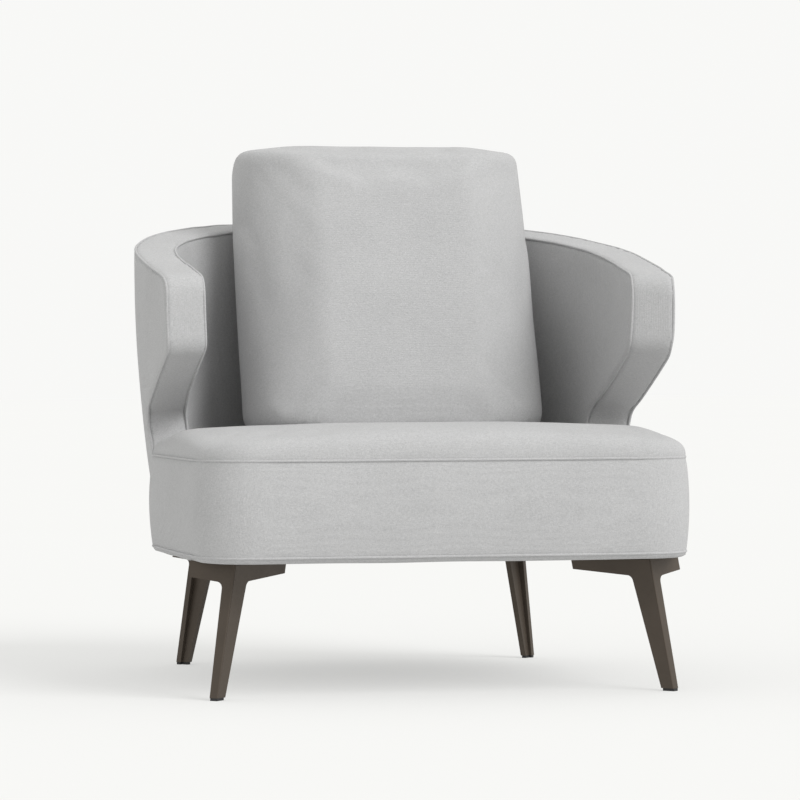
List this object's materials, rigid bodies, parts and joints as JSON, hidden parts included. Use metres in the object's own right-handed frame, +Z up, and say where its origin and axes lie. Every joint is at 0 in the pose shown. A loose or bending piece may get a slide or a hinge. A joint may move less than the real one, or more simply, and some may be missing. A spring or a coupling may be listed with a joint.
{
  "type": "upholstered armchair",
  "caption": "Low upholstered armchair: a curved padded shell forms arms and back around a deep seat, with a loose back cushion and four slim angled metal legs",
  "frame": {"origin": "on the floor under the middle of the chair's outline", "axes": "X to the sitter's left (right as seen from the front), Y from front to back, Z up; the chair faces -Y"},
  "size_m": [0.8192, 0.8379, 0.834],
  "materials": {
    "fabric": "light grey melange weave",
    "foam": "soft open-cell foam",
    "filling": "fibre-wrapped foam",
    "lining": "black non-woven cloth",
    "board": "birch plywood",
    "rail": "sawn softwood",
    "webbing": "elastic webbing",
    "leg": "satin dark bronze",
    "glide": "matt black",
    "screw": "zinc-plated steel",
    "zip": "grey nylon",
    "zip_metal": "satin grey metal"
  },
  "bodies": {
    "frame": {"leg_front_left": "leg", "leg_front_right": "leg", "leg_rear_left": "leg", "leg_rear_right": "leg", "glide_front_left": "glide", "glide_front_right": "glide", "glide_rear_left": "glide", "glide_rear_right": "glide", "leg_screws": "screw", "leg_inserts": "screw", "dust_cover": "lining", "base_board": "board", "seat_front_rail": "rail", "seat_rear_rail": "rail", "seat_left_rail": "rail", "seat_right_rail": "rail", "seat_slant_rails": "rail", "seat_corner_blocks": "rail", "webbing_cross": "webbing", "webbing_long": "webbing", "seat_foam": "foam", "seat_edge_foam": "foam", "seat_boxing": "fabric", "seat_top_cover": "fabric", "seat_top_piping": "fabric", "seat_bottom_piping": "fabric", "shell_outer_cover": "fabric", "shell_outer_foam": "foam", "shell_panel": "board", "shell_inner_foam": "foam", "shell_inner_cover": "fabric", "shell_border": "fabric", "shell_outer_piping": "fabric", "shell_inner_piping": "fabric", "shell_screws": "screw", "shell_inserts": "screw"},
    "back_cushion": {"cushion_cover": "fabric", "cushion_filling": "filling", "cushion_zip": "zip"},
    "zip_slider_body": {"zip_slider": "zip_metal", "zip_pull": "zip_metal"}
  },
  "joints": [
    {"name": "cushion_lift", "type": "slide", "parent": "frame", "child": "back_cushion", "axis": [0, 0, 1], "range_m": [0, 0.42]},
    {"name": "zip_run", "type": "slide", "parent": "back_cushion", "child": "zip_slider_body", "axis": [1, 0, 0], "range_m": [0, 0.328]}
  ]
}
